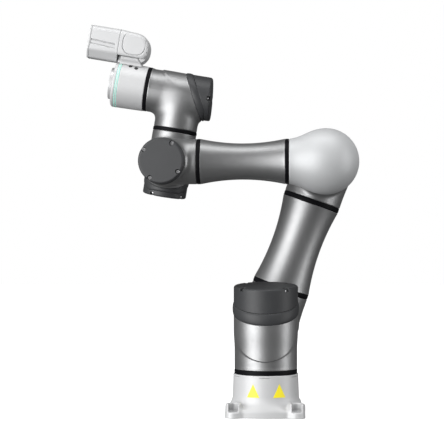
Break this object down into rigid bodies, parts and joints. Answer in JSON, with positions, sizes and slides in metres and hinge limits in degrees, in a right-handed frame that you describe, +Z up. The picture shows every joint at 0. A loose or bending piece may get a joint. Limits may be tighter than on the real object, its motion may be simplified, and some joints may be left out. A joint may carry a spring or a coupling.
{
  "type": "collaborative robot arm",
  "caption": "Bent articulated robot arm on a bolted base, with rounded joint modules, waisted arm tubes, a lit tool flange and a small vision camera.",
  "frame": {"origin": "centre of the base's underside, on the first joint's vertical axis", "axes": "+Z up along the first joint's axis, -Y the front, +X the side that the elbow leans to"},
  "size_m": [0.5404, 0.3317, 0.7643],
  "materials": {
    "grey_housing": "satin grey paint on a smooth casting",
    "silver_casting": "light silver satin paint",
    "white_shell": "silver-white satin paint",
    "dark_cover": "fine-grained dark grey plastic",
    "black_seal": "smooth black",
    "mint_light": "translucent light guide",
    "turned_aluminium": "machined and clear anodised",
    "motor_steel": "machined steel",
    "black_plastic": "satin black",
    "camera_glass": "dark polished window",
    "cable_jacket": "matt black jacket"
  },
  "bodies": {
    "base": {"base_casting": "silver_casting", "base_connector_panel": "black_plastic", "base_cable_socket": "turned_aluminium", "joint_1_output_shaft": "turned_aluminium", "joint_1_seal_ring": "black_seal"},
    "shoulder": {"joint_1_housing": "grey_housing", "joint_1_rim_band": "dark_cover", "joint_1_rear_cap": "dark_cover", "joint_1_motor_gear_unit": "motor_steel", "joint_2_output_shaft": "turned_aluminium", "joint_2_seal_ring": "black_seal"},
    "upper_arm": {"joint_2_housing": "grey_housing", "joint_2_rim_band": "dark_cover", "joint_2_rear_cap": "dark_cover", "joint_2_motor_gear_unit": "motor_steel", "joint_3_housing": "grey_housing", "joint_3_rim_band": "dark_cover", "joint_3_rear_cap": "dark_cover", "joint_3_motor_gear_unit": "motor_steel", "upper_arm_tube": "grey_housing", "upper_arm_shoulder_ring": "black_seal", "upper_arm_elbow_ring": "black_seal", "upper_arm_cable_loom": "cable_jacket"},
    "forearm": {"joint_3_output_shaft": "turned_aluminium", "joint_3_seal_ring": "black_seal", "elbow_cover": "silver_casting", "forearm_tube": "grey_housing", "forearm_elbow_ring": "black_seal", "forearm_wrist_ring": "black_seal", "forearm_cable_loom": "cable_jacket", "joint_4_housing": "grey_housing", "joint_4_rim_band": "dark_cover", "joint_4_rear_cap": "dark_cover", "joint_4_motor_gear_unit": "motor_steel"},
    "wrist": {"joint_4_output_shaft": "turned_aluminium", "joint_4_seal_ring": "black_seal", "joint_5_housing": "grey_housing", "joint_5_rim_band": "dark_cover", "joint_5_rear_cap": "dark_cover", "joint_5_motor_gear_unit": "motor_steel"},
    "wrist_turn": {"joint_5_output_shaft": "turned_aluminium", "joint_5_seal_ring": "black_seal", "joint_6_housing": "grey_housing", "joint_6_rim_band": "dark_cover", "joint_6_rear_cap": "dark_cover", "joint_6_motor_gear_unit": "motor_steel"},
    "end_module": {"joint_6_output_shaft": "turned_aluminium", "joint_6_seal_ring": "black_seal", "end_module_housing": "white_shell", "status_light_ring": "mint_light", "end_module_front_cover": "white_shell", "tool_flange": "turned_aluminium", "vision_camera_bracket": "white_shell", "vision_camera_rear_cover": "white_shell", "vision_camera_housing": "white_shell", "vision_camera_bezel": "white_shell", "vision_camera_window": "camera_glass", "vision_camera_lens": "black_plastic"},
    "freedrive_button": {"freedrive_button": "black_plastic"},
    "waypoint_button": {"waypoint_button": "black_plastic"}
  },
  "joints": [
    {"name": "joint_1", "type": "hinge", "parent": "base", "child": "shoulder", "pos_m": [0, 0, 0.0832], "axis": [0, 0, 1], "range_deg": [-270, 270]},
    {"name": "joint_2", "type": "hinge", "parent": "shoulder", "child": "upper_arm", "pos_m": [0, 0.0865, 0.1617], "axis": [0, 1, 0], "range_deg": [-199.6, 160.4]},
    {"name": "joint_3", "type": "hinge", "parent": "upper_arm", "child": "forearm", "pos_m": [0.11513, 0.0865, 0.48501], "axis": [0, 1, 0], "range_deg": [-30, 235]},
    {"name": "joint_4", "type": "hinge", "parent": "forearm", "child": "wrist", "pos_m": [-0.19637, 0.0564, 0.48501], "axis": [0, 1, 0], "range_deg": [-172, 80.5]},
    {"name": "joint_5", "type": "hinge", "parent": "wrist", "child": "wrist_turn", "pos_m": [-0.19637, 0.1223, 0.48501], "axis": [0.1654, 0, 0.9862], "range_deg": [-90, 270]},
    {"name": "joint_6", "type": "hinge", "parent": "wrist_turn", "child": "end_module", "pos_m": [-0.173, 0.1223, 0.62442], "axis": [-0.9862, 0, 0.1654], "range_deg": [-270, 270]},
    {"name": "freedrive_press", "type": "slide", "parent": "end_module", "child": "freedrive_button", "axis": [-0.1387, 0.5446, -0.8271], "range_m": [0, 0.001], "stiffness_N_per_m": 600, "springref_m": -0.001},
    {"name": "waypoint_press", "type": "slide", "parent": "end_module", "child": "waypoint_button", "axis": [-0.1303, 0.6157, -0.7772], "range_m": [0, 0.001], "stiffness_N_per_m": 600, "springref_m": -0.001}
  ]
}
